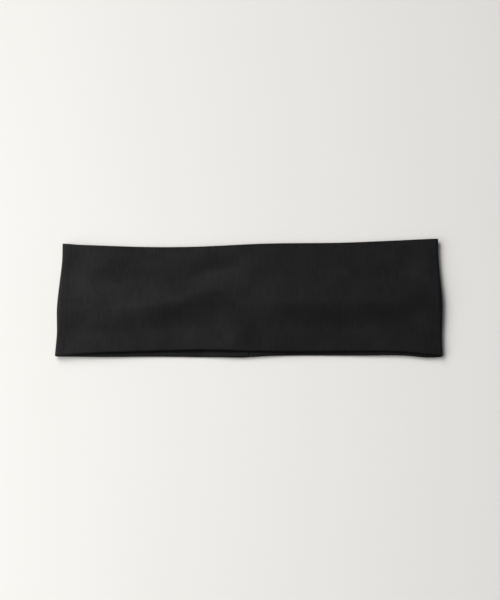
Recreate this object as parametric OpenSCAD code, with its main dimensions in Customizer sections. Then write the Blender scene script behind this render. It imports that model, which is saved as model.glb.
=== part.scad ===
// Wide stretch-jersey headband, lying flat.
// One strip of jersey is folded lengthwise and sewn into a tube, and the tube's two ends
// are sewn together at the centre back, so the band is a loop of two layers when it lies flat.
// X runs along the band, +Y points to its upper edge and +Z points up from the table.
// The back layer lies on the table, and the front layer is the same shape turned over on top of it.
// The loop bends at six lines, so each layer is divided at a third of its length.

/* [Band] */
// Length of the flat band, from side fold to side fold
band_len = 235; // [200:1:260]
// Height of the band, from lower edge to upper edge
band_h = 75; // [50:1:100]
// Height of the lengthwise seam above the middle of the band
seam_y = -4.5; // [-15:0.5:15]

/* [Jersey] */
// Thickness of one ply of jersey
ply_t = 0.5; // [0.4:0.05:0.7]
// Slack between plies that lie on each other
nest_gap = 0.05; // [0.05:0.01:0.1]
// Gap between the two layers, where the head goes through
layer_gap = 0.3; // [0.3:0.1:1]

/* [Seams] */
// Width of the seam allowances
allowance = 6; // [4:0.5:8]
// Width of the overlock thread along the raw edges
overlock_w = 0.4; // [0.3:0.05:0.6]
// Thickness of the needle thread
needle_d = 0.22; // [0.15:0.01:0.25]
// Length of the turning gap that is closed by hand
closed_len = 32; // [20:1:50]
// Distance between the closing stitches
stitch_pitch = 2; // [1.5:0.5:4]

/* [Bends] */
// Gap between the bodies on both sides of a bend line
bend_gap = 0.2; // [0.2:0.05:0.5]

/* [Hidden] */
$fn = 48;
layer_t = 4 * ply_t + 3 * nest_gap;         // two plies and the two allowances between them
total_t = 2 * layer_t + layer_gap;
fold_r = total_t / 2;                       // outer radius of the side folds
fold_x = band_len / 2 - fold_r;             // axis of the side folds
bend_x = fold_x / 3;                        // the bend lines make a regular hexagon of the open loop
edge_y = (band_h - layer_t) / 2;            // centre of the rolled edges
turn_r = ply_t + nest_gap / 2;              // outside of a ply that is turned back on itself
turn_z = layer_t - turn_r;
bend_r = ply_t + nest_gap;                  // middle of the ply where it steps down under the other one
bend_out = bend_r + ply_t / 2;
bend_in = bend_r - ply_t / 2;
bend_z = layer_t - bend_out;
under_s = -bend_out;                        // the under ply starts to bend here, measured from the seam
over_s = under_s + sqrt(pow(bend_out + turn_r + nest_gap, 2) - pow(turn_z - bend_z, 2));
seam_end = allowance + overlock_w + nest_gap;   // the join's allowances reach this far from it
lead = 2 * bend_out;                        // cloth drawn with the join's outline before its turn
join_needle_z = turn_z - sqrt(pow(turn_r + needle_d / 2 + nest_gap / 2, 2) - pow(over_s, 2));
join_w = 2 * (edge_y - nest_gap);           // the join's seam lies between the rolled edges
half_gap = bend_gap / 2;

// Stretches of the tube: name, start and end along X, and whether it is in the front layer
STRETCHES = [
    ["back_centre_left", -bend_x + half_gap, -seam_end, false],
    ["back_centre_right", seam_end, bend_x - half_gap, false],
    ["back_left", -fold_x, -bend_x - half_gap, false],
    ["back_right", bend_x + half_gap, fold_x, false],
    ["front_left", -fold_x + half_gap, -bend_x - half_gap, true],
    ["front_right", bend_x + half_gap, fold_x - half_gap, true],
    ["front_centre_left", -bend_x + half_gap, -half_gap, true],
    ["front_centre_right", half_gap, bend_x - half_gap, true]
];
FOLDS = [["left_fold", 1], ["right_fold", -1]];
MATERIALS = ["_jersey", "_overlock_thread", "_needle_thread"];
JOIN = ["join_outer_overlock_thread", "join_outer_needle_thread", "join_inner_overlock_thread",
    "join_inner_needle_thread", "join_closing_stitch"];

// ---- Seam outlines, seen along the seam: s across it, z through the layer with the seamed face on top

// A half or a quarter of a ring, kept inside the box from low to low + size
module arc(outer, inner, low, size) {
    intersection() {
        difference() {
            circle(outer);
            circle(inner);
        }
        translate(low) square(size);
    }
}

// The ply that lies over: it comes from +s, turns back on itself and ends in its allowance
module over_ply(from) {
    translate([over_s, layer_t - ply_t]) square([from - over_s, ply_t]);
    translate([over_s, turn_z]) arc(turn_r, nest_gap / 2, [-turn_r, -turn_r], [turn_r, 2 * turn_r]);
    translate([over_s, turn_z - turn_r]) square([allowance - over_s, ply_t]);
}

// The ply that goes under: it comes from -s, steps down and ends in its allowance
module under_ply(from) {
    translate([from, layer_t - ply_t]) square([under_s - from, ply_t]);
    translate([under_s, bend_z]) arc(bend_out, bend_in, [0, 0], [bend_out, bend_out]);
    translate([under_s + 2 * bend_r, bend_z])
        arc(bend_out, bend_in, [-bend_out, -bend_out], [bend_out, bend_out]);
    translate([under_s + 2 * bend_r, bend_z - bend_out]) square([allowance - under_s - 2 * bend_r, ply_t]);
}

// The overlock thread over the raw edges of both allowances
module overlock_outline() {
    translate([allowance, ply_t + nest_gap]) square([overlock_w, 2 * ply_t + nest_gap]);
}

// The overlock thread over the raw edge of one allowance of the join
module join_overlock_outline() {
    translate([allowance, turn_z - turn_r]) square([overlock_w, ply_t]);
}

// The needle thread of the join, between the two turned plies
module join_needle_outline() {
    translate([0, join_needle_z]) circle(needle_d / 2);
}

// The needle thread, in the hollow of the step
module needle_outline() {
    reach = (bend_out + needle_d / 2 + nest_gap / 2) * sqrt(0.5);
    translate([under_s + 2 * bend_r - reach, bend_z - reach]) circle(needle_d / 2);
}

// ---- Outlines of the flattened tube, seen along the band: Y across it, Z through the back layer

module rolled_edges() {
    roll_r = layer_t / 2;
    for (side = [-1, 1])
        translate([side * edge_y, roll_r])
            arc(roll_r, roll_r - ply_t, [side > 0 ? 0 : -layer_t, -layer_t], [layer_t, 2 * layer_t]);
}

module outer_face() {
    translate([-edge_y, 0]) square([2 * edge_y, ply_t]);
}

// The inner face with the lengthwise seam and its allowances, pressed towards the upper edge
module seamed_face() {
    translate([seam_y, 0]) {
        over_ply(edge_y - seam_y);
        under_ply(-edge_y - seam_y);
    }
}

// The inner face beside the join, where the allowances of the lengthwise seam are cut away
module butted_face() {
    translate([-edge_y, layer_t - ply_t]) square([edge_y + seam_y, ply_t]);
    translate([seam_y + nest_gap, layer_t - ply_t]) square([edge_y - seam_y - nest_gap, ply_t]);
}

module tube_outline() {
    rolled_edges();
    outer_face();
    seamed_face();
}

// ---- Placing an outline

// Extrudes a tube outline along X
module along(x0, x1) {
    translate([x0, 0, 0]) rotate([90, 0, 90]) linear_extrude(x1 - x0) children();
}

// Extrudes a seam outline across the flat of the band, along Y
module across(length) {
    rotate([90, 0, 0]) linear_extrude(length, center = true) children();
}

// Turns the back layer's shape over for the front layer
module in_layer(front) {
    if (front) translate([0, 0, total_t]) mirror([0, 0, 1]) children();
    else children();
}

// Bends a tube outline half a turn round a side fold; side is 1 for the left fold, -1 for the right one
module round_fold(side) {
    mirror([side < 0 ? 1 : 0, 0, 0])
        translate([-fold_x, 0, fold_r]) rotate([-90, 0, 0]) rotate([0, 0, 90])
            rotate_extrude(angle = 180) translate([fold_r, 0]) rotate(90) children();
}

// Repeats a join outline of the inner plies on the other side of the join
module on_both_sides() {
    for (side = [0, 1]) mirror([side, 0]) children();
}

// Turns a join outline of the inner plies over for the outer plies
module on_outer_plies() {
    translate([0, layer_t]) mirror([0, 1]) children();
}

// ---- Sub-parts

module stretch_jersey(s) {
    color("#2b2b2d") union() {
        in_layer(s[3]) along(s[1], s[2]) tube_outline();
        if (s[0] == "back_centre_left") left_end();
        if (s[0] == "back_centre_right") mirror([1, 0, 0]) left_end();
    }
}

// The left end of the tube, with both plies turned in at the join and their allowances pressed open
module left_end() {
    along(-seam_end, -lead) {
        outer_face();
        butted_face();
    }
    along(-seam_end, -nest_gap / 2) rolled_edges();
    across(join_w) mirror([1, 0]) {
        over_ply(2 * lead);
        on_outer_plies() over_ply(2 * lead);
    }
}

module fold_jersey(f) {
    color("#2b2b2d") round_fold(f[1]) tube_outline();
}

module stretch_thread(s) {
    color("#1c1c1e") in_layer(s[3]) along(s[1], s[2]) translate([seam_y, 0]) children();
}

module fold_thread(f) {
    color("#1c1c1e") round_fold(f[1]) translate([seam_y, 0]) children();
}

module join_thread() {
    color("#1c1c1e") across(join_w) children();
}

module join_outer_overlock_thread() {
    join_thread() on_outer_plies() on_both_sides() join_overlock_outline();
}

module join_outer_needle_thread() {
    join_thread() on_outer_plies() join_needle_outline();
}

module join_inner_overlock_thread() {
    join_thread() on_both_sides() join_overlock_outline();
}

module join_inner_needle_thread() {
    join_thread() join_needle_outline();
}

// Short bars of thread that lie across the join of the inner plies
module join_closing_stitch() {
    count = floor(closed_len / stitch_pitch);
    color("#1c1c1e")
        for (i = [0:count - 1])
            translate([-bend_out, (i - (count - 1) / 2) * stitch_pitch, layer_t + needle_d / 2])
                rotate([0, 90, 0]) cylinder(h = 2 * bend_out, d = needle_d);
}

for (s = STRETCHES) {
    stretch_jersey(s);
    stretch_thread(s) overlock_outline();
    stretch_thread(s) needle_outline();
}
for (f = FOLDS) {
    fold_jersey(f);
    fold_thread(f) overlock_outline();
    fold_thread(f) needle_outline();
}
join_outer_overlock_thread();
join_outer_needle_thread();
join_inner_overlock_thread();
join_inner_needle_thread();
join_closing_stitch();
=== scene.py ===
import math

import bpy
import numpy as np
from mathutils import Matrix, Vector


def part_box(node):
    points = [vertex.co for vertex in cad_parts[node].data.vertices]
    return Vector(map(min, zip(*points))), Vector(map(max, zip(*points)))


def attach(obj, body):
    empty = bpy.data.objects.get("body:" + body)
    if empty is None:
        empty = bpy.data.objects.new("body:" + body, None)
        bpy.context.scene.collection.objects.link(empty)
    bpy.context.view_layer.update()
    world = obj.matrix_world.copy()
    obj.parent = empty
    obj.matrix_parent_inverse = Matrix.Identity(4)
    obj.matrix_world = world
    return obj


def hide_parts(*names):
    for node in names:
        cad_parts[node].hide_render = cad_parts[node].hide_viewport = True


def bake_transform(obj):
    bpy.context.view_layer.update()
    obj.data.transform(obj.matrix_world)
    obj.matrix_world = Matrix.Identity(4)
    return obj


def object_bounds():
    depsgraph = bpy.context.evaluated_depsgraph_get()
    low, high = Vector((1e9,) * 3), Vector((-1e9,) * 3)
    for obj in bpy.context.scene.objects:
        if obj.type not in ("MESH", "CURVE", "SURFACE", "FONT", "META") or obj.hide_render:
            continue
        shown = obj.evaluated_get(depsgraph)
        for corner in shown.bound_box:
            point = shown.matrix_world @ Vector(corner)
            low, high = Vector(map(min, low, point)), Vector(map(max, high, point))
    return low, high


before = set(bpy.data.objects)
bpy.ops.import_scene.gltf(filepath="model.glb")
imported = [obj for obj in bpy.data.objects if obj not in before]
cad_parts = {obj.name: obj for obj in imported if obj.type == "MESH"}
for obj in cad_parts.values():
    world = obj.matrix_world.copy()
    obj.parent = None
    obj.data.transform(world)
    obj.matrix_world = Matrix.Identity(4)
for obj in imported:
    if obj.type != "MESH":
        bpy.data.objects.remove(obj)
cad_low, cad_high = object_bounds()

# ---- Camera ----
# The camera stands level in front of the lower edge and looks steeply down at the middle of the band.

camera_rise = math.radians(68.5)
camera_distance = 0.873
camera_data = bpy.data.cameras.new("camera")
camera_data.sensor_width = 36
camera_data.lens = 85.5
camera = bpy.data.objects.new("camera", camera_data)
camera.location = (
    0,
    -camera_distance * math.cos(camera_rise),
    camera_distance * math.sin(camera_rise),
)
camera.rotation_euler = (math.pi / 2 - camera_rise, 0, 0)
bpy.context.scene.collection.objects.link(camera)
bpy.context.scene.camera = camera
bpy.context.scene.view_settings.view_transform = "Standard"

# ---- Table and light ----
# The band lies on a wide sheet of matt off-white paper. A broad window-like lamp stands beyond its
# upper left corner, and the pale room fills the shadows.


def add_node(tree, kind, inputs=(), **settings):
    """Adds a node with its settings, and sets each of its inputs to a value or links it to a socket."""
    node = tree.nodes.new(kind)
    for key, value in settings.items():
        setattr(node, key, value)
    for key, value in dict(inputs).items():
        if isinstance(value, bpy.types.NodeSocket):
            tree.links.new(value, node.inputs[key])
        else:
            node.inputs[key].default_value = value
    return node


def new_material(name):
    """An empty node material with its Principled shader joined to the output."""
    material = bpy.data.materials.new(name)
    material.use_nodes = True
    tree = material.node_tree
    shader = next(n for n in tree.nodes if n.type == "BSDF_PRINCIPLED")
    return material, tree, shader


paper_material, tree, shader = new_material("matt_paper")
place_on_paper = add_node(tree, "ShaderNodeTexCoord").outputs["Object"]
paper_cloud = add_node(
    tree, "ShaderNodeTexNoise", {"Vector": place_on_paper, "Scale": 6.0, "Detail": 3.0}
)
paper_tone = add_node(
    tree,
    "ShaderNodeMix",
    {"Factor": paper_cloud.outputs["Fac"], "A": (0.80, 0.79, 0.77, 1), "B": (0.82, 0.815, 0.80, 1)},
    data_type="RGBA",
)
tree.links.new(paper_tone.outputs["Result"], shader.inputs["Base Color"])
shader.inputs["Roughness"].default_value = 0.8
shader.inputs["Specular IOR Level"].default_value = 0.2

paper_half = 3.0
paper_gap = 0.00005
paper_z = cad_low.z - paper_gap
paper_mesh = bpy.data.meshes.new("paper")
paper_mesh.from_pydata(
    [(x * paper_half, y * paper_half, paper_z) for x, y in ((-1, -1), (1, -1), (1, 1), (-1, 1))],
    [],
    [(0, 1, 2, 3)],
)
paper_mesh.materials.append(paper_material)
paper = bpy.data.objects.new("paper", paper_mesh)
bpy.context.scene.collection.objects.link(paper)


def add_lamp(name, location, size, energy, colour):
    """A square lamp that shines at the middle of the band."""
    data = bpy.data.lights.new(name, "AREA")
    data.size = size
    data.energy = energy
    data.color = colour
    lamp = bpy.data.objects.new(name, data)
    lamp.location = location
    lamp.rotation_mode = "QUATERNION"
    lamp.rotation_quaternion = (-lamp.location).to_track_quat("-Z", "Y")
    bpy.context.scene.collection.objects.link(lamp)


add_lamp("window", (-1.6, 1.7, 2.0), 2.2, 82, (1.0, 0.985, 0.96))
add_lamp("ceiling", (-0.75, -0.30, 0.62), 1.0, 9, (1.0, 0.99, 0.97))

room = bpy.data.worlds.new("room")
room.use_nodes = True
room_light = next(n for n in room.node_tree.nodes if n.type == "BACKGROUND")
room_light.inputs["Color"].default_value = (0.95, 0.96, 1.0, 1)
room_light.inputs["Strength"].default_value = 0.14
bpy.context.scene.world = room

# ---- Jersey of the back layer ----
# One strip of black stretch jersey is folded lengthwise into a tube, and its ends are turned in and sewn
# together at the centre back. This is the half of the loop that lies on the table, left and right.
# Sizes are in mm up to the mesh, which is in metres.

MM = 0.001
layer_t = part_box("back_left_jersey")[1].z / MM
total_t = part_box("left_fold_jersey")[1].z / MM
half_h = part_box("back_left_jersey")[1].y / MM
band_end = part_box("right_fold_jersey")[1].x / MM
allowance = 6.0
seam_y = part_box("back_left_overlock_thread")[0].y / MM - allowance
ply = 0.5
fold_r = total_t / 2
fold_x = band_end - fold_r
# Depth is measured in a layer, from its outer face. The rolled edges turn about (edge_y, mid_depth).
mid_depth = layer_t / 2
outer_depth = ply / 2
inner_depth = layer_t - ply / 2
roll_r = mid_depth - outer_depth
edge_y = half_h - mid_depth
# The jersey is cut into its pieces here, just inside the side folds.
cut_x = fold_x - 3.7


def smooth(value):
    """0 below 0 and 1 above 1, with the smooth step 3v^2 - 2v^3 between them."""
    value = np.clip(value, 0, 1)
    return value * value * (3 - 2 * value)


def curve_through(points, at):
    """Cubic Hermite curve through (x, y) points, whose slope at each point is that of its neighbours."""
    x, y = np.array(points, float).T
    slope = np.gradient(y, x)
    at = np.clip(at, x[0], x[-1])
    i = np.clip(np.searchsorted(x, at) - 1, 0, len(x) - 2)
    step = x[i + 1] - x[i]
    t = (at - x[i]) / step
    return (
        y[i] * (1 + 2 * t) * (1 - t) ** 2
        + slope[i] * step * t * (1 - t) ** 2
        + y[i + 1] * t * t * (3 - 2 * t)
        + slope[i + 1] * step * t * t * (t - 1)
    )


# The band's edges as it lies, (along, across) in mm.
FRONT_TOP = [(-117, 36.6), (-100, 35.1), (-60, 34.1), (-20, 35.0), (0, 36.1), (60, 37.5), (117, 39.8)]
FRONT_LOW = [(-117, -37.3), (-104, -36.2), (-60, -34.1), (-30, -33.4), (0, -34.2), (60, -34.1),
             (85, -34.2), (100, -35.3), (117, -37.1)]
BACK_TOP = [(-117, 36.6), (-60, 35.0), (0, 36.3), (60, 37.8), (117, 39.8)]
BACK_LOW = [(-117, -37.2), (-88, -37.4), (-58, -37.0), (-20, -37.4), (-2, -37.6), (5, -37.1),
            (68, -36.4), (95, -36.7), (108, -37.9), (117, -37.4)]
# How far each side fold stands out from the band's end, (across, out) in mm.
LEFT_SIDE = [(-36.5, 0.5), (-24, 0.0), (-6, 0.2), (2, 0.0), (13, -0.3), (26, -0.9), (36, -0.6)]
RIGHT_SIDE = [(-37, -0.9), (-27, -0.9), (-17, -0.4), (-5, 0.1), (15, -0.1), (34, -0.3), (39, 0.0)]
# How far the front layer's cloth is shifted up between its edges, (along, up) in mm.
TWIST = [(-117, -3.5), (-80, -2.0), (-38, 0.5), (20, 0.0), (80, -1.0), (117, -1.5)]
# Low folds in the front layer: middle of the crest (along, across), its angle in degrees, half length,
# half width and height, in mm.
FOLDS = [
    (-92, 18, 45, 20, 24, 0.6),
    (-34, 12, 24, 27, 8, -1.2),
    (-50, -4, 18, 32, 10, 1.7),
    (-85, -37, 3, 36, 10, 0.6),
    (-8, -25, 50, 12, 9, 0.8),
    (36, -5, 3, 36, 10, 1.2),
    (96, -4, -3, 26, 6, 0.8),
    (92, 15, 12, 20, 10, -0.7),
    (102, -15, -15, 16, 7, -0.8),
]


def band_edges(x, front):
    """Lower and upper edge at x, shared between the back layer's and the front layer's curves by front."""
    low = curve_through(BACK_LOW, x) * (1 - front) + curve_through(FRONT_LOW, x) * front
    top = curve_through(BACK_TOP, x) * (1 - front) + curve_through(FRONT_TOP, x) * front
    return low, top


def fold_height(x, y):
    """Sum of the low folds: each is its height times exp(-(l / half length)^2 - (w / half width)^2), where
    l and w are the distances from its middle along its crest and square to it."""
    height = 0
    for along, across, angle, half_length, half_width, rise in FOLDS:
        c, s = math.cos(math.radians(angle)), math.sin(math.radians(angle))
        dx, dy = x - along, y - across
        far = ((c * dx + s * dy) / half_length) ** 2 + ((c * dy - s * dx) / half_width) ** 2
        height = height + rise * np.exp(-far)
    return height


# How far the plies sink together where no allowance lies between them: a first small part of it close to
# the allowances, and the rest in a long slope.
ply_sink = 0.95
lap_low, lap_high = seam_y - 0.5, seam_y + 6.5
near_part, near_reach, far_reach = 0.1, 4, 18
# The join's thick allowances hold the plies apart, over a longer reach in the front layer on top of them.
back_join_reach, front_join_reach = 25, 70
# Towards the side folds the plies close about their layer's middle instead of lying down on the table.
lift_start, lift_reach = 40, 70
# The front's upper edge droops a little, and its low folds fade out before the side folds.
droop, droop_reach = 0.25, 8
fade_end, fade_reach = fold_x - 5, 16
# The side folds' own outline sets in here, and the thinner the fold is, the further out it lies.
side_start, side_reach, side_spread = 95, 18, 0.4


def place(side, station, turn, across, depth, inset=0.0):
    """Where a point of the tube lies, in metres. Station is the distance from the band's middle and turn
    the angle round the side fold, 0 in the back layer and pi in the front one. Across and depth are the
    point's place in the flat tube, and inset draws it in towards the tube's own middle. In words: x is
    the station plus the distance from the fold's axis times the sine of the turn, z is the axis height
    minus that distance times the cosine, and y shares the width between the band's two edges, with the
    front's twist added between them. The sinks first scale the depth about the layer's middle, and the
    low folds then add to the front's height."""
    beyond_lap = np.clip(lap_low - across, 0, None) + np.clip(across - lap_high, 0, None)
    hollow = near_part * smooth(beyond_lap / near_reach) + (1 - near_part) * smooth(beyond_lap / far_reach)
    lifted = smooth((station - lift_start) / lift_reach)
    front = (1 - np.cos(turn)) / 2
    on_top = front > 0.5
    join_reach = np.where(on_top, front_join_reach, back_join_reach)
    back_sink = ply_sink * hollow * smooth((station - allowance) / join_reach)
    sink = np.where(on_top, ply_sink * hollow, back_sink)
    roll = 1 - sink / (2 * roll_r)
    depth = mid_depth + (depth - mid_depth) * roll * (1 - inset) + lifted * sink / 2
    over_edge = np.clip(np.abs(across) - edge_y, 0, None)
    across = across - np.sign(across) * over_edge * (1 - roll * (1 - inset))
    x = side * (station + (fold_r - depth) * np.sin(turn))
    low, top = band_edges(x, front)
    share = across / (edge_y + roll_r * roll + outer_depth)
    y = (low + top) / 2 + share * (top - low) / 2 + front * curve_through(TWIST, x) * (1 - share**2)
    loft = fold_height(x, y) - droop * smooth((across - edge_y + droop_reach) / droop_reach)
    loft = np.where(on_top, loft, 0) * smooth((fade_end - station) / fade_reach)
    z = fold_r - (fold_r - depth) * np.cos(turn)
    z = z + loft - (1 - lifted) * np.where(on_top, back_sink + sink / 2, sink / 2)
    side_line = curve_through(LEFT_SIDE if side < 0 else RIGHT_SIDE, y)
    x = x + side * (side_line + side_spread * sink) * smooth((station - side_start) / side_reach)
    return np.stack(np.broadcast_arrays(x, y, z), axis=-1) * MM


def run(first, last, pitch):
    """Even steps from first to last, at most a pitch apart."""
    return np.linspace(first, last, int(abs(last - first) / pitch) + 2)


# Spacing of the jersey's grid across the band, along it, and along it where it turns.
across_step, along_step, turn_step = 0.8, 1.0, 0.9


def flat_run(start, end, depth):
    """Straight part of the strip's path at one depth."""
    across = run(start, end, across_step)
    return np.column_stack([across, np.full(len(across), depth)])


def bend(across, depth, radius, start, end, count):
    """Round part of the path: the centre plus radius times the cosine and sine of an even run of angles."""
    angle = np.linspace(start, end, count)
    return np.column_stack([across + radius * np.cos(angle), depth + radius * np.sin(angle)])


# The strip's middle line round the tube, as (across, depth). It starts at the raw edge of the upper
# allowance, turns back on itself, goes up the inner face, round the upper edge, down the outer face, round
# the lower edge and up to the seam, where it steps under and ends in the lower allowance.
quarter = math.pi / 2
over_turn_y, under_turn_y = seam_y + 0.547, seam_y - 0.8
over_depth, under_depth = 1.35, 0.80
tight_r = inner_depth / 2 - over_depth / 2
step_r = inner_depth / 2 - under_depth / 2
over_seam = [
    flat_run(seam_y + allowance, over_turn_y, over_depth),
    bend(over_turn_y, over_depth + tight_r, tight_r, -quarter, -3 * quarter, 9)[1:],
]
tube_round = [
    flat_run(over_turn_y, edge_y, inner_depth)[1:],
    bend(edge_y, mid_depth, roll_r, quarter, -quarter, 11)[1:],
    flat_run(edge_y, -edge_y, outer_depth)[1:],
    bend(-edge_y, mid_depth, roll_r, -quarter, -3 * quarter, 11)[1:],
    flat_run(-edge_y, under_turn_y, inner_depth)[1:],
]
under_seam = [
    bend(under_turn_y, inner_depth - step_r, step_r, quarter, 0, 6)[1:],
    bend(under_turn_y + 2 * step_r, inner_depth - step_r, step_r, -math.pi, -quarter, 6)[1:],
    flat_run(under_turn_y + 2 * step_r, seam_y + allowance, under_depth)[1:],
]
sewn_path = np.concatenate(over_seam + tube_round + under_seam)
path_length = np.concatenate([[0], np.cumsum(np.linalg.norm(np.diff(sewn_path, axis=0), axis=1))])
ring_r = fold_r - mid_depth
ring_length = math.pi * ring_r

# Beside the join the seam's allowances are cut away, and its plies meet edge to edge in the inner face.
# They are back in full a little further along.
butt_gap = 0.12
trimmed_end, trim_taper = 7.0, 1.5
over_count, under_count = (sum(len(part) for part in parts) for parts in (over_seam, under_seam))
butted_path = sewn_path.copy()
butted_path[:over_count, 0] = np.linspace(seam_y + butt_gap, over_turn_y, over_count)
butted_path[-under_count:, 0] = np.linspace(under_turn_y, seam_y - butt_gap, under_count + 1)[1:]
butted_path[:over_count, 1] = inner_depth
butted_path[-under_count:, 1] = inner_depth


def mesh_object(name, points, faces, uv, material):
    """A mesh of quads with a UV in metres. Its outside is turned outwards by the sign of its volume, the
    sum of a . (b x c) + a . (c x d) over its quads."""
    a, b, c, d = (points[faces[:, k]] for k in range(4))
    volume = np.sum(a * np.cross(b, c)) + np.sum(a * np.cross(c, d))
    if volume < 0:
        faces = faces[:, ::-1]
    mesh = bpy.data.meshes.new(name)
    mesh.from_pydata(points.tolist(), [], faces.tolist())
    corners = np.zeros(len(mesh.loops), np.int32)
    mesh.loops.foreach_get("vertex_index", corners)
    layer = mesh.uv_layers.new(name="cloth")
    layer.uv.foreach_set("vector", uv[corners].astype(np.float32).ravel())
    mesh.shade_smooth()
    mesh.set_sharp_from_angle(angle=math.radians(55))
    mesh.materials.append(material)
    made = bpy.data.objects.new(name, mesh)
    bpy.context.scene.collection.objects.link(made)
    return made


def quads(first, second):
    """Quads between two grids' matching cells or edges: each index with its neighbours in both."""
    return np.stack([first[:-1], first[1:], second[1:], second[:-1]], axis=-1).reshape(-1, 4)


def cloth_shell(name, middle, uv, thickness, material, spare):
    """A closed shell round a grid of middle points. Both faces are the grid moved half the thickness
    along its normals, the cross product of its two gradients, and a wall joins them along the border.
    The spare rows at either end only steady the normals, and are left out of the mesh."""
    normal = np.cross(np.gradient(middle, axis=0), np.gradient(middle, axis=1))
    normal /= np.linalg.norm(normal, axis=2, keepdims=True)
    meshed = slice(spare[0], len(middle) - spare[1])
    middle, normal, uv = middle[meshed], normal[meshed], uv[meshed]
    rows, columns = middle.shape[:2]
    points = np.concatenate([middle + normal * thickness / 2, middle - normal * thickness / 2])
    index = np.arange(2 * rows * columns).reshape(2, rows, columns)
    top, bottom = index
    faces = [quads(top[:, k], top[:, k + 1]) for k in range(columns - 1)]
    faces += [quads(bottom[:, k], bottom[:, k + 1])[:, ::-1] for k in range(columns - 1)]
    border = np.concatenate([top[0, :-1], top[:-1, -1], top[-1, :0:-1], top[:0:-1, 0], top[0, :1]])
    under = border + rows * columns
    faces += [quads(border, under)]
    return mesh_object(
        name,
        points.reshape(-1, 3),
        np.concatenate(faces),
        np.concatenate([uv, uv]).reshape(-1, 2),
        material,
    )


def lay_jersey(name, side, station, turn, inset, loop, material, spare):
    """Carries the strip's path along the band: each row of the grid is the path at one station, turn and
    inset, and loop is its distance round the loop from the front's middle. Beside the join, in the back
    layer, the path passes over from the butted one to the sewn one."""
    station, turn, inset = (np.asarray(v, float)[:, None] for v in (station, turn, inset))
    sewn = np.where(turn > 0, 1, smooth((station - trimmed_end) / trim_taper))
    across, depth = (butted_path[:, k] * (1 - sewn) + sewn_path[:, k] * sewn for k in (0, 1))
    middle = place(side, station, turn, across, depth, inset)
    u = np.broadcast_to(side * np.asarray(loop)[:, None], middle.shape[:2])
    v = np.broadcast_to(path_length, middle.shape[:2])
    return cloth_shell(name, middle, np.stack([u, v], axis=-1) * MM, ply * MM, material, spare)


def follow_band(piece, hand, layer, material_name):
    """Bakes a piece of one layer or side fold into its mesh, and hides the CAD nodes that it stands for."""
    if layer == "back":
        bodies, nodes = ("back_centre", f"back_{hand}"), (f"back_centre_{hand}", f"back_{hand}")
    elif layer == "fold":
        bodies, nodes = (f"back_{hand}", f"front_{hand}"), (f"{hand}_fold",)
    else:
        bodies, nodes = (f"front_{hand}", f"front_centre_{hand}"), (f"front_{hand}", f"front_centre_{hand}")
    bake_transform(piece)
    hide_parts(*(f"{node}_{material_name}" for node in nodes))


# Black polyester and elastane jersey: V-shaped knit stitches in columns across the band, uneven yarns that
# show as fine streaks, a faint cloudiness and a soft sheen. A stitch is two legs that rise from its middle.
wale_pitch, course_pitch, leg_rise = 0.0009, 0.0007, 1.4
jersey_material, tree, shader = new_material("black_jersey")
cloth_uv = add_node(tree, "ShaderNodeUVMap", uv_map="cloth").outputs["UV"]
split = add_node(tree, "ShaderNodeSeparateXYZ", {"Vector": cloth_uv})


def calculate(tree, operation, *values):
    """One step of arithmetic on the nodes' values."""
    return add_node(tree, "ShaderNodeMath", dict(enumerate(values)), operation=operation).outputs[0]


column = calculate(tree, "DIVIDE", split.outputs["X"], wale_pitch)
from_middle = calculate(
    tree, "ABSOLUTE", calculate(tree, "SUBTRACT", calculate(tree, "FRACT", column), 0.5)
)
leg = calculate(tree, "SINE", calculate(tree, "MULTIPLY", from_middle, 2 * math.pi))
row = calculate(tree, "DIVIDE", split.outputs["Y"], course_pitch)
course = calculate(tree, "MULTIPLY_ADD", from_middle, leg_rise, row)
loop_row = calculate(
    tree, "ABSOLUTE", calculate(tree, "SINE", calculate(tree, "MULTIPLY", course, math.pi))
)
stitch = calculate(tree, "MULTIPLY", leg, calculate(tree, "MULTIPLY_ADD", loop_row, 0.45, 0.55))


def cloth_noise(along, across, detail):
    """Noise on the cloth's own surface, with so many blotches a metre along the band and across it."""
    scaled = add_node(
        tree, "ShaderNodeMapping", {"Vector": cloth_uv, "Scale": (along, across, 1)}
    ).outputs["Vector"]
    return add_node(
        tree,
        "ShaderNodeTexNoise",
        {"Vector": scaled, "Scale": 1.0, "Detail": detail},
        noise_dimensions="2D",
    ).outputs["Fac"]


streak = cloth_noise(1100, 90, 3.0)
cloud = cloth_noise(70, 70, 3.0)
grain = cloth_noise(1300, 1100, 2.0)
cloudy_grain = calculate(tree, "MULTIPLY_ADD", cloud, 0.35, calculate(tree, "MULTIPLY", grain, 0.35))
uneven = calculate(tree, "MULTIPLY_ADD", streak, 0.3, cloudy_grain)
cloth_tone = add_node(
    tree, "ShaderNodeMapRange", {"Value": uneven, "From Min": 0.3, "From Max": 0.7}
)
deep_black, worn_black = (0.0002, 0.0002, 0.0003, 1), (0.0075, 0.0079, 0.0085, 1)
cloth_colour = add_node(
    tree,
    "ShaderNodeMix",
    {"Factor": cloth_tone.outputs["Result"], "A": deep_black, "B": worn_black},
    data_type="RGBA",
)
tree.links.new(cloth_colour.outputs["Result"], shader.inputs["Base Color"])
cloth_gloss = add_node(
    tree,
    "ShaderNodeMapRange",
    {"Value": uneven, "From Min": 0.3, "From Max": 0.7, "To Min": 0.64, "To Max": 0.49},
)
tree.links.new(cloth_gloss.outputs["Result"], shader.inputs["Roughness"])
relief = calculate(tree, "MULTIPLY_ADD", streak, 0.4, stitch)
cloth_bump = add_node(
    tree, "ShaderNodeBump", {"Height": relief, "Distance": 0.00003, "Strength": 0.6}
)
tree.links.new(cloth_bump.outputs["Normal"], shader.inputs["Normal"])
shader.inputs["Specular IOR Level"].default_value = 0.17
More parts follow.
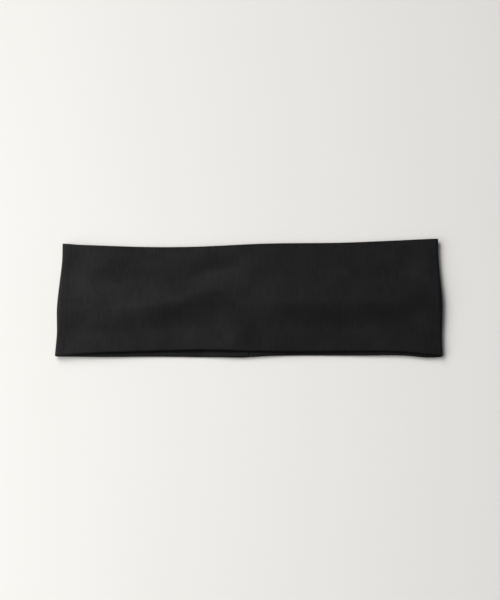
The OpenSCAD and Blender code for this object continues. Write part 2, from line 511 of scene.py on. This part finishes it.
shader.inputs["Sheen Weight"].default_value = 0.05
shader.inputs["Sheen Roughness"].default_value = 0.25

# At the join both plies of each half turn back on themselves. Their allowances lie two thirds of the way
# in to the layer's middle.
join_turn, join_turn_r = 0.56, 0.275
tucked_inset = 2 / 3
SIDES = ((-1, "left"), (1, "right"))

for side, hand in SIDES:
    tuck = run(allowance, join_turn, turn_step)
    curl = np.linspace(0, math.pi, 9)[1:-1][::-1]
    body = run(join_turn, cut_x + along_step, along_step)
    station = np.concatenate([tuck, join_turn - join_turn_r * np.sin(curl), body])
    inset = np.concatenate([0 * tuck + tucked_inset, tucked_inset * (1 - np.cos(curl)) / 2, 0 * body])
    body_loop = 2 * fold_x + ring_length - body
    curl_loop = body_loop[0] + join_turn_r * curl
    tuck_loop = body_loop[0] + join_turn_r * math.pi + tuck - join_turn
    loop = np.concatenate([tuck_loop, curl_loop, body_loop])
    piece = lay_jersey(
        f"jersey_back_{hand}", side, station, 0 * station, inset, loop, jersey_material, (0, 1)
    )
    follow_band(piece, hand, "back", "jersey")

# ---- Jersey of the side folds ----
# At both ends of the flat band the same strip turns over from the back layer into the front one, round
# nothing but its own thickness.

for side, hand in SIDES:
    near = run(cut_x - turn_step, fold_x, turn_step)
    round_turn = np.linspace(0, math.pi, 19)[1:-1]
    station = np.concatenate([near, 0 * round_turn + fold_x, near[::-1]])
    turn = np.concatenate([0 * near, round_turn, 0 * near + math.pi])
    loop = np.concatenate(
        [2 * fold_x + ring_length - near, fold_x + (math.pi - round_turn) * ring_r, near[::-1]]
    )
    piece = lay_jersey(
        f"jersey_fold_{hand}", side, station, turn, 0 * station, loop, jersey_material, (1, 1)
    )
    follow_band(piece, hand, "fold", "jersey")

# ---- Jersey of the front layer ----
# The half of the loop that lies on top. It is not sewn to the back layer, and lies on it in low folds.
# The loop's linkage is opened at the front's middle, so the strip is divided there.

for side, hand in SIDES:
    station = run(cut_x + along_step, -along_step, along_step)
    piece = lay_jersey(
        f"jersey_front_{hand}",
        side,
        station,
        0 * station + math.pi,
        0 * station,
        station,
        jersey_material,
        (1, 1),
    )
    follow_band(piece, hand, "front", "jersey")

# ---- Overlock thread of the lengthwise seam ----
# A looped edging of black spun polyester thread, sewn over both raw edges of the strip's allowances. It
# lies inside the tube all round the loop.

overlock_r, overlock_pitch = 0.09, 1.2
overlock_steps = 8
RING_SIDES = 6
# A six-sided end is closed with two quads.
END_QUADS = [[0, 1, 2, 3], [0, 3, 4, 5]]


def along_loop(distance):
    """Station and turn at a distance round the loop from the front's middle, in mm."""
    turn = math.pi - np.clip(distance - fold_x, 0, ring_length) / ring_r
    back_station = 2 * fold_x + ring_length - distance
    return np.minimum(np.minimum(distance, back_station), fold_x), turn


def thread_tubes(name, paths, radius, square_to, material):
    """Round tubes of thread along paths. Round each path point lies a ring of points: the point plus the
    radius times the cosine and sine of their angles, along two directions square to the path, the first
    of which is also square to a fixed direction. Both ends are flat."""
    points, faces, uv, used = [], [], [], 0
    angle = np.arange(RING_SIDES) * 2 * math.pi / RING_SIDES
    for path in paths:
        ahead = np.gradient(path, axis=0)
        ahead /= np.linalg.norm(ahead, axis=1, keepdims=True)
        first = np.cross(ahead, square_to)
        first /= np.linalg.norm(first, axis=1, keepdims=True)
        second = np.cross(ahead, first)
        ring = np.cos(angle)[:, None] * first[:, None] + np.sin(angle)[:, None] * second[:, None]
        points.append((path[:, None] + radius * MM * ring).reshape(-1, 3))
        length = np.concatenate([[0], np.cumsum(np.linalg.norm(np.diff(path, axis=0), axis=1))])
        around = angle * radius * MM
        uv.append(np.stack(np.broadcast_arrays(length[:, None], around), axis=-1).reshape(-1, 2))
        index = used + np.arange(len(path) * RING_SIDES).reshape(-1, RING_SIDES)
        used += index.size
        for k in range(RING_SIDES):
            faces.append(quads(index[:, k], index[:, (k + 1) % RING_SIDES]))
        faces.append(index[0][END_QUADS][:, ::-1])
        faces.append(index[-1][END_QUADS])
    return mesh_object(
        name, np.concatenate(points), np.concatenate(faces), np.concatenate(uv), material
    )


# Black spun polyester thread: two yarns twisted together, shining faintly along each turn through their
# bumps and a painted highlight on the crests, with painted shade in the grooves and random lint tone.
thread_material, tree, shader = new_material("black_thread")
thread_uv = add_node(tree, "ShaderNodeUVMap", uv_map="cloth").outputs["UV"]
split = add_node(tree, "ShaderNodeSeparateXYZ", {"Vector": thread_uv})
twist_length, yarn_width = 0.0006, 0.0003
turn_along = calculate(tree, "DIVIDE", split.outputs["X"], twist_length)
turn_around = calculate(tree, "DIVIDE", split.outputs["Y"], yarn_width)
yarn = calculate(
    tree,
    "SINE",
    calculate(tree, "MULTIPLY", calculate(tree, "ADD", turn_along, turn_around), 2 * math.pi),
)
lint = add_node(
    tree, "ShaderNodeTexNoise", {"Vector": thread_uv, "Scale": 5000.0, "Detail": 2.0}
).outputs["Fac"]
# The colour's mix follows the twist's height, so it paints shade into the grooves and a highlight onto the
# crests, plus random lint tone.
twist_shade_and_lint_tone = add_node(
    tree,
    "ShaderNodeMapRange",
    {"Value": calculate(tree, "ADD", yarn, lint), "From Min": -1.0, "From Max": 2.0},
)
# Painted shade for the twist's grooves, and a painted highlight for its crests.
groove_painted_shade, crest_painted_highlight = (0.003, 0.003, 0.0032, 1), (0.013, 0.013, 0.014, 1)
thread_colour_and_painted_twist_shade = add_node(
    tree,
    "ShaderNodeMix",
    {"Factor": twist_shade_and_lint_tone.outputs["Result"], "A": groove_painted_shade, "B": crest_painted_highlight},
    data_type="RGBA",
)
tree.links.new(thread_colour_and_painted_twist_shade.outputs["Result"], shader.inputs["Base Color"])
thread_bump = add_node(
    tree, "ShaderNodeBump", {"Height": yarn, "Distance": 0.00003, "Strength": 0.7}
)
tree.links.new(thread_bump.outputs["Normal"], shader.inputs["Normal"])
shader.inputs["Roughness"].default_value = 0.5
shader.inputs["Sheen Weight"].default_value = 0.05

# Where each layer's thread starts and ends, as distances round the loop.
join_distance = 2 * fold_x + ring_length
LAYERS = (
    ("back", join_distance - trimmed_end - trim_taper, join_distance - cut_x),
    ("fold", join_distance - cut_x, cut_x),
    ("front", cut_x, 0.0),
)


def zigzag(distance, pitch):
    """A triangle wave from -1 to 1: the arc sine of a sine."""
    return np.arcsin(np.sin(2 * math.pi * distance / pitch)) * 2 / math.pi


def past_edge(distance):
    """How far the edging stands past the raw edges, in mm: 0.22 plus 0.08 times a cosine that goes round
    once in every loop of the thread."""
    return 0.22 + 0.08 * np.cos(2 * math.pi * distance / overlock_pitch)


both_raw_edges = (over_depth + under_depth) / 2
both_plies_reach = 0.4
for side, hand in SIDES:
    for layer, first, last in LAYERS:
        distance = run(first, last, overlock_pitch / overlock_steps)
        station, turn = along_loop(distance)
        across = seam_y + allowance + past_edge(distance)
        depth = both_raw_edges + both_plies_reach * zigzag(distance, overlock_pitch)
        path = place(side, station, turn, across, depth)
        piece = thread_tubes(
            f"seam_overlock_{layer}_{hand}", [path], overlock_r, (0, 1, 0), thread_material
        )
        follow_band(piece, hand, layer, "overlock_thread")

# ---- Needle thread of the lengthwise seam ----
# The straight line of stitches that holds the two long edges of the strip together, in the hollow where
# the lower ply steps down.

needle_r, stitch_length = 0.11, 2.5
stitch_steps = 6
hollow_y, hollow_depth = seam_y - 0.361, 0.689
for side, hand in SIDES:
    for layer, first, last in LAYERS:
        distance = run(first, last, stitch_length / stitch_steps)
        station, turn = along_loop(distance)
        sway = 0.015 * np.sin(2 * math.pi * distance / stitch_length)
        path = place(side, station, turn, hollow_y + sway, hollow_depth + sway)
        piece = thread_tubes(
            f"seam_needle_{layer}_{hand}", [path], needle_r, (0, 1, 0), thread_material
        )
        follow_band(piece, hand, layer, "needle_thread")

# ---- Threads of the join ----
# The tube's two ends are sewn together ply by ply at the centre back. Each ply's join has a needle thread
# in its seam line, and an overlock thread over each of its two raw edges, which lie pressed open.

join_half = edge_y - 0.2
one_ply_reach = 0.13
# Each ply's name, with the depths of its needle thread and of its raw edges.
PLIES = (("outer", 0.894, under_depth), ("inner", 1.256, over_depth))
for ply_name, seam_depth, edge_depth in PLIES:
    across = run(-join_half, join_half, overlock_pitch / overlock_steps)
    station = allowance + past_edge(across)
    depth = edge_depth + one_ply_reach * zigzag(across, overlock_pitch)
    paths = [place(side, station, 0.0, across, depth) for side, _ in SIDES]
    piece = thread_tubes(f"join_overlock_{ply_name}", paths, overlock_r, (1, 0, 0), thread_material)
    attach(piece, "back_centre")
    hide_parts(f"join_{ply_name}_overlock_thread")

    across = run(-join_half, join_half, stitch_length / stitch_steps)
    sway = 0.01 * np.sin(2 * math.pi * across / stitch_length)
    path = place(1, sway, 0.0, across, seam_depth)
    piece = thread_tubes(f"join_needle_{ply_name}", [path], needle_r, (1, 0, 0), thread_material)
    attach(piece, "back_centre")
    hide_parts(f"join_{ply_name}_needle_thread")

# ---- Closing stitch ----
# The tube is turned right side out through a gap in the inner ply's join, which is then closed by hand
# with short bars of thread across it. The ends of each bar go into the cloth.

stitch_low, stitch_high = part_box("join_closing_stitch")
bar_half = stitch_high.x / MM
bar_r = (stitch_high.z - stitch_low.z) / MM / 2
bar_count, bar_pitch, bar_slant = 16, 2.0, 0.15
bar_along = np.linspace(-bar_half, bar_half, 13)
# Each bar's height over the cloth falls with the fourth power of the distance from its middle.
bar_depth = layer_t + bar_r * (0.9 - 2.2 * (bar_along / bar_half) ** 4)
bars = []
for bar_y in (np.arange(bar_count) - (bar_count - 1) / 2) * bar_pitch:
    bars.append(place(1, bar_along, 0.0, bar_y + bar_slant * bar_along, bar_depth))
piece = thread_tubes("closing_stitch", bars, bar_r, (0, 1, 0), thread_material)
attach(piece, "back_centre")
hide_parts("join_closing_stitch")
